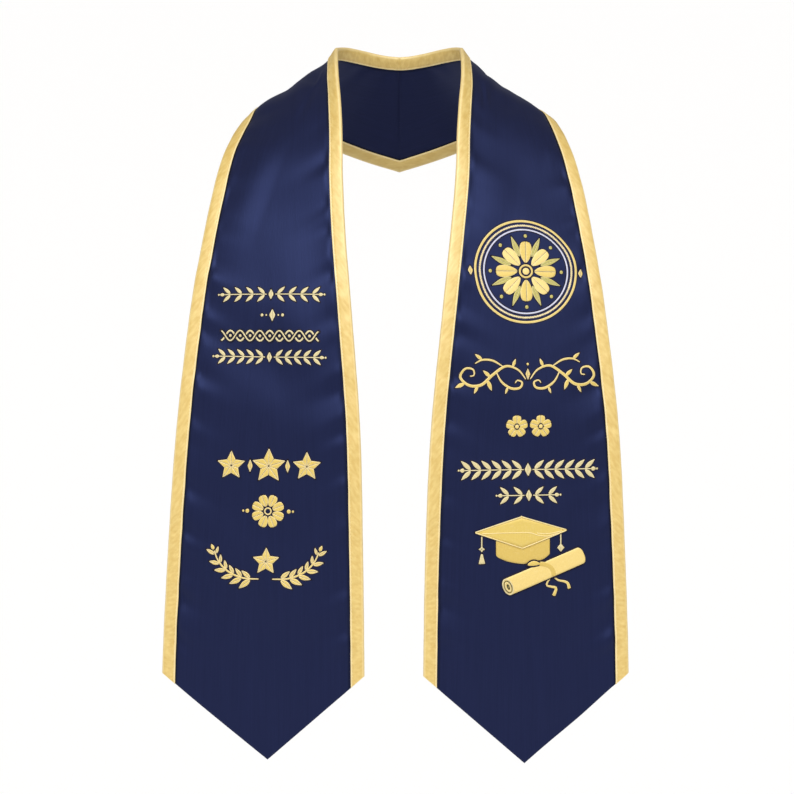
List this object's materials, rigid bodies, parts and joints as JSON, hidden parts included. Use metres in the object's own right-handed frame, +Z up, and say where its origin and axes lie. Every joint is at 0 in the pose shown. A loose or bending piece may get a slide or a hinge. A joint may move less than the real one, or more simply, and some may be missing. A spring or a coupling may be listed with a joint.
{
  "type": "graduation stole",
  "caption": "Worn graduation stole of satin bands with pointed ends, joined in a seam behind the neck and bound along both edges with gold ribbon.",
  "frame": {"origin": "underside of the cloth in the middle of the centre-back seam, where the stole sits on the nape", "axes": "+Z up, -Y the way the wearer faces, +X to the right as seen from the front, towards the wearer's left shoulder"},
  "size_m": [0.3763, 0.2486, 0.5662],
  "materials": {
    "navy_satin": "soft satin sheen",
    "gold_ribbon": "satin ribbon"
  },
  "bodies": {
    "root": {"left_panel": "navy_satin", "right_panel": "navy_satin", "left_inner_trim": "gold_ribbon", "left_outer_trim": "gold_ribbon", "right_inner_trim": "gold_ribbon", "right_outer_trim": "gold_ribbon"}
  },
  "joints": []
}
